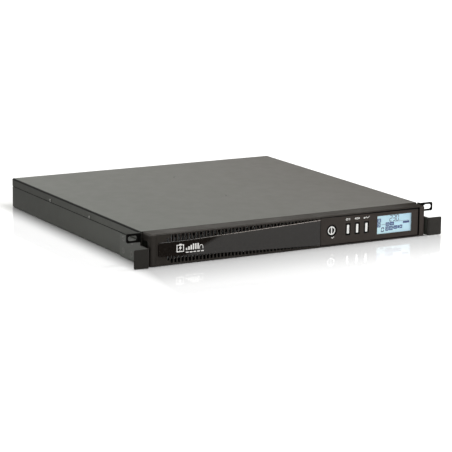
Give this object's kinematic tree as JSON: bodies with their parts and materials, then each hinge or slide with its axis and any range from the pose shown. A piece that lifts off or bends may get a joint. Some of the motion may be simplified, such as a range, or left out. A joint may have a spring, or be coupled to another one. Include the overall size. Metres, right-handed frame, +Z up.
{
  "type": "uninterruptible power supply",
  "caption": "Rack-mount uninterruptible power supply one rack unit tall: steel case with ears, louvred bezel with display and keys, pull-out battery drawer, rear outlets and fans.",
  "frame": {"origin": "midway between the two ear slots, on the rear face of the ear tabs where they meet the rack rails; the underside of the case is 36.75 mm below it", "axes": "+X to the right seen from the front, +Y towards the rear of the case, +Z up"},
  "size_m": [0.4826, 0.4484, 0.043],
  "materials": {
    "case_paint": "fine texture powder coat",
    "cover_paint": "fine texture powder coat",
    "ear_paint": "satin powder coat",
    "zinc_sheet": "zinc plated sheet",
    "screw_steel": "zinc plated",
    "screw_black": "black oxide",
    "panel_satin": "satin to gloss moulding",
    "bezel_plastic": "fine grain moulding",
    "leaf_gloss": "piano black",
    "window_clear": "clear",
    "lcd_pale": "pale blue display",
    "button_white": "white",
    "button_black": "satin",
    "board_green": "solder mask",
    "switch_black": "matte",
    "battery_case": "grained",
    "connector_red": "matte",
    "wire_jacket": "insulated wire",
    "heatsink_alu": "extruded",
    "cap_sleeve": "heat shrink sleeve",
    "relay_case": "matte",
    "copper_winding": "enamelled copper and tape",
    "core_steel": "stacked laminations",
    "ribbon_grey": "flat cable",
    "brass_plated": "machined",
    "fan_black": "matte",
    "socket_black": "fine grain",
    "port_shell": "nickel plated"
  },
  "bodies": {
    "chassis": {"base_tray": "case_paint", "top_cover": "cover_paint", "rear_panel": "case_paint", "partition": "zinc_sheet", "guide_rail": "zinc_sheet", "ear_left": "ear_paint", "ear_right": "ear_paint", "ear_screws": "screw_black", "lid_screws": "screw_steel", "top_screws": "screw_black", "bezel_screws": "screw_steel", "panel_screws": "screw_steel", "board_screws": "screw_steel", "fan_screws": "screw_steel", "standoffs": "brass_plated", "bezel_frame": "bezel_plastic", "control_panel": "bezel_plastic", "lcd_window": "window_clear", "lcd_module": "lcd_pale", "display_board": "board_green", "tact_switches": "switch_black", "battery_socket": "connector_red", "main_board": "board_green", "heatsinks": "heatsink_alu", "capacitors": "cap_sleeve", "relays": "relay_case", "chokes": "copper_winding", "transformer_core": "core_steel", "transformer_coil": "copper_winding", "ribbon_cable": "ribbon_grey", "power_wires": "wire_jacket", "fan_frames": "fan_black", "fan_guards": "screw_steel", "ac_inlet": "socket_black", "outlets": "socket_black", "breaker_body": "socket_black", "comm_board": "board_green", "usb_port": "port_shell", "serial_port": "port_shell", "slot_cover": "case_paint", "earth_stud": "brass_plated"},
    "front_panel": {"vent_panel": "panel_satin", "leaf_panel": "leaf_gloss"},
    "battery_drawer": {"drawer_tray": "zinc_sheet", "drawer_handle": "screw_steel", "thumb_screws": "screw_steel", "battery_block_1": "battery_case", "battery_block_2": "battery_case", "battery_block_3": "battery_case", "battery_block_4": "battery_case", "battery_links": "wire_jacket", "battery_plug": "connector_red"},
    "power_key": {"power_button": "button_black", "power_ring": "button_white"},
    "menu_key_1": {"key_1": "button_white"},
    "menu_key_2": {"key_2": "button_white"},
    "menu_key_3": {"key_3": "button_white"},
    "fan_1": {"fan_rotor_1": "fan_black"},
    "fan_2": {"fan_rotor_2": "fan_black"},
    "breaker_key": {"breaker_button": "button_black"}
  },
  "joints": [
    {"name": "front_panel_pull", "type": "slide", "parent": "chassis", "child": "front_panel", "axis": [0, -1, 0], "range_m": [0, 0.36]},
    {"name": "battery_drawer_slide", "type": "slide", "parent": "chassis", "child": "battery_drawer", "axis": [0, -1, 0], "range_m": [0, 0.306]},
    {"name": "power_key_press", "type": "slide", "parent": "chassis", "child": "power_key", "axis": [0, 1, 0], "range_m": [0, 0.001], "stiffness_N_per_m": 100, "springref_m": -0.0005},
    {"name": "menu_key_1_press", "type": "slide", "parent": "chassis", "child": "menu_key_1", "axis": [0, 1, 0], "range_m": [0, 0.001], "stiffness_N_per_m": 40, "springref_m": -0.0005},
    {"name": "menu_key_2_press", "type": "slide", "parent": "chassis", "child": "menu_key_2", "axis": [0, 1, 0], "range_m": [0, 0.001], "stiffness_N_per_m": 40, "springref_m": -0.0005},
    {"name": "menu_key_3_press", "type": "slide", "parent": "chassis", "child": "menu_key_3", "axis": [0, 1, 0], "range_m": [0, 0.001], "stiffness_N_per_m": 40, "springref_m": -0.0005},
    {"name": "fan_1_spin", "type": "hinge", "parent": "chassis", "child": "fan_1", "pos_m": [-0.1906, 0.4038, -0.01525], "axis": [0, 1, 0], "continuous": true},
    {"name": "fan_2_spin", "type": "hinge", "parent": "chassis", "child": "fan_2", "pos_m": [-0.1496, 0.4038, -0.01525], "axis": [0, 1, 0], "continuous": true},
    {"name": "breaker_key_pop", "type": "slide", "parent": "chassis", "child": "breaker_key", "axis": [0, 1, 0], "range_m": [0, 0.004]}
  ],
  "couplings": [
    {"joint": "battery_drawer_slide", "follows": "front_panel_pull", "ratio": 0.85}
  ]
}
